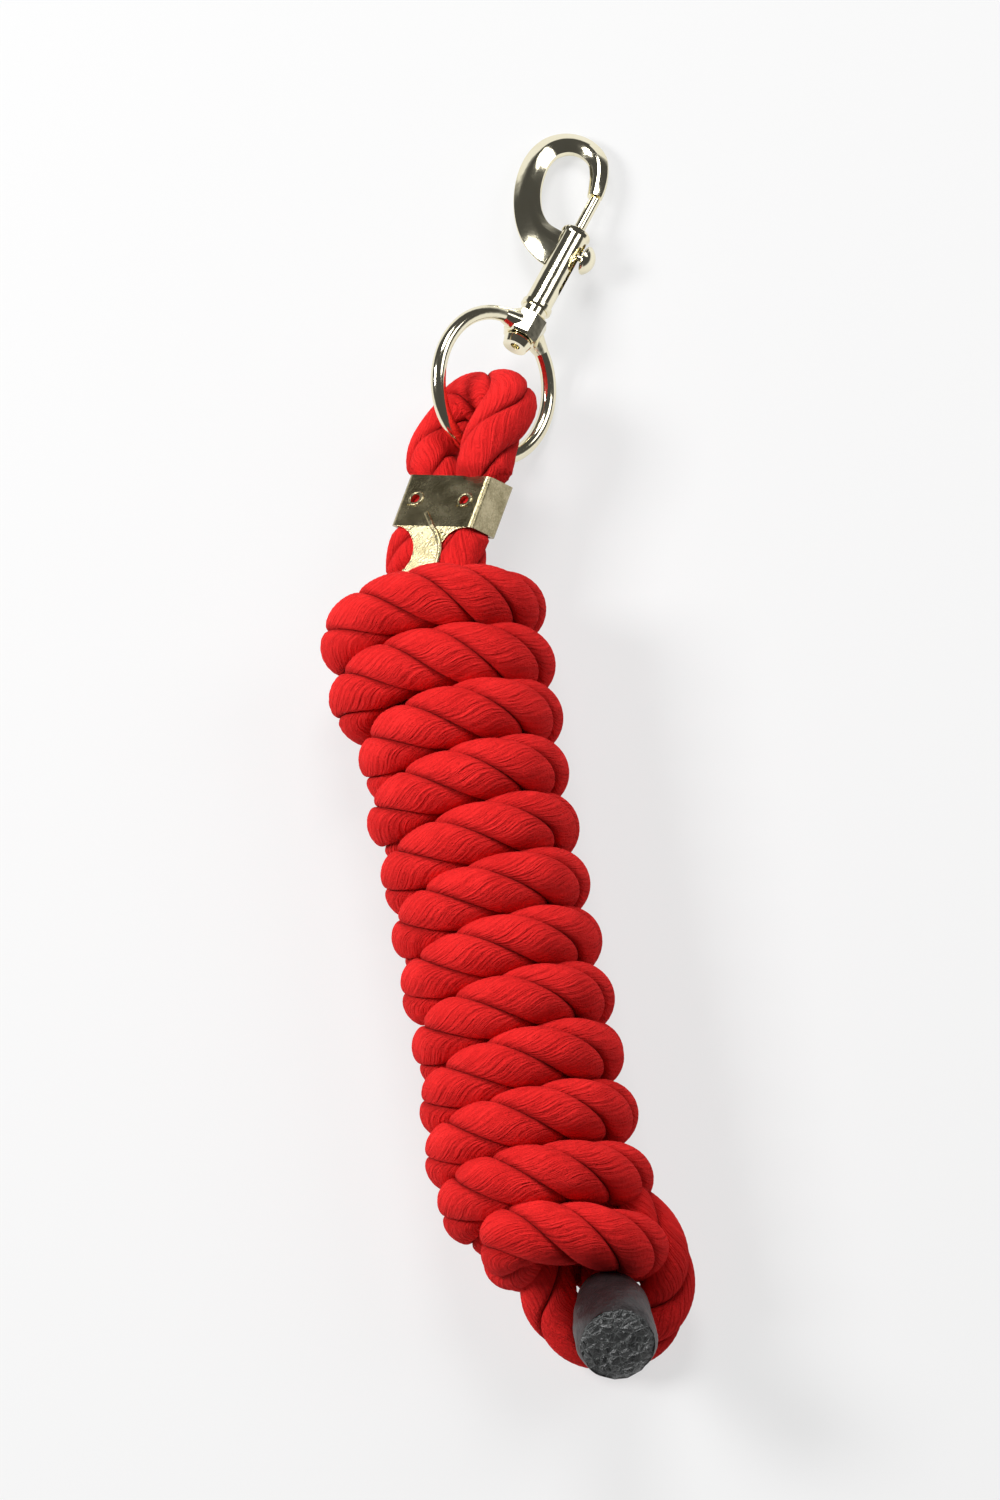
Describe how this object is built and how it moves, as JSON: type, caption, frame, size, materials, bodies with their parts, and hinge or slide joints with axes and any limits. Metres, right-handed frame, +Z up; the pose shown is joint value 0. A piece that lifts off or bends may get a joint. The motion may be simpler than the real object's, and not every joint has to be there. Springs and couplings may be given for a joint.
{
  "type": "lead rope",
  "caption": "Cotton lead rope wound up in a hank, with a crimped eye, a swivel ring, a bolt snap and a rubber cap on the free end.",
  "frame": {"origin": "under the middle of the whole rope, on the surface that it lies on", "axes": "+Y along the hank towards the snap, +Z up, +X to the right of the hank seen from the tail"},
  "size_m": [0.1084, 0.4284, 0.0659],
  "materials": {
    "rope_cotton": "soft",
    "clamp_brass": "satin",
    "snap_plating": "polished",
    "spring_steel": "satin",
    "cap_rubber": "satin"
  },
  "bodies": {
    "rope": {"rope_hank": "rope_cotton", "rope_bight": "rope_cotton", "rope_tail": "rope_cotton", "rope_eye": "rope_cotton", "rope_throat": "rope_cotton", "rope_clamp": "clamp_brass", "end_cap": "cap_rubber"},
    "ring": {"swivel_ring": "snap_plating"},
    "snap": {"snap_body": "snap_plating", "swivel_rivet": "snap_plating", "bolt_spring": "spring_steel"},
    "bolt": {"snap_bolt": "snap_plating", "thumb_knob": "snap_plating"}
  },
  "joints": [
    {"name": "ring_swing", "type": "hinge", "parent": "rope", "child": "ring", "pos_m": [-0.00042, 0.11715, 0.0217], "axis": [0.6582, -0.3116, 0.6853], "range_deg": [-50, 50]},
    {"name": "swivel", "type": "hinge", "parent": "ring", "child": "snap", "pos_m": [0.01921, 0.14592, 0.01594], "axis": [0.556, 0.815, -0.1633], "continuous": true},
    {"name": "bolt_slide", "type": "slide", "parent": "snap", "child": "bolt", "axis": [-0.556, -0.815, 0.1633], "range_m": [0, 0.0105], "stiffness_N_per_m": 350, "springref_m": -0.006, "deforming": ["bolt_spring"]}
  ]
}
